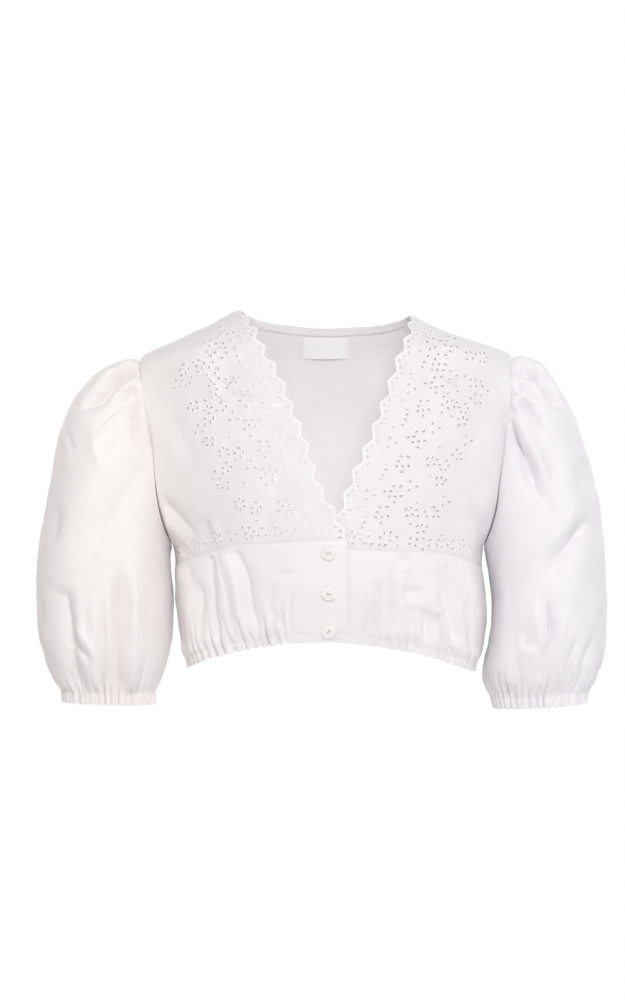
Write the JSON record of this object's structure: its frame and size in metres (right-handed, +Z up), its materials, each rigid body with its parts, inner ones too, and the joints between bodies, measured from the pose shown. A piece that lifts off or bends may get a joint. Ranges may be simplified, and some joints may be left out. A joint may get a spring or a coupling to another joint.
{
  "type": "dirndl blouse",
  "caption": "Short white cotton dirndl blouse in its worn shape: V neck with a zigzag eyelet edge, eyelet fronts over gathered lower panels, and elbow-length puff sleeves.",
  "frame": {"origin": "middle of the neck, level with the shoulder ridges, where the wearer holds it up", "axes": "+Z up, -Y towards the front, +X towards the wearer's left"},
  "size_m": [0.6157, 0.2276, 0.4324],
  "materials": {
    "cotton": "plain fine cotton, soft and matt",
    "eyelet_cotton": "broderie anglaise: cotton with stitched eyelets and a zigzag edge",
    "pearl_button": "pearly, slightly glossy",
    "label_satin": "bare white satin ribbon"
  },
  "bodies": {
    "root": {"front_right_centre_lower": "cotton", "front_right_side_lower": "cotton", "hem_casing_front_right": "cotton", "front_left_centre_lower": "cotton", "front_left_side_lower": "cotton", "hem_casing_front_left": "cotton", "back_panel": "cotton", "hem_casing_back": "cotton", "back_neck_binding": "cotton", "sleeve_right": "cotton", "sleeve_left": "cotton", "cuff_casing_right": "cotton", "cuff_casing_left": "cotton", "front_right_upper": "eyelet_cotton", "front_left_upper": "eyelet_cotton", "neck_label": "label_satin", "button_top": "pearl_button", "button_middle": "pearl_button", "button_bottom": "pearl_button"}
  },
  "joints": []
}
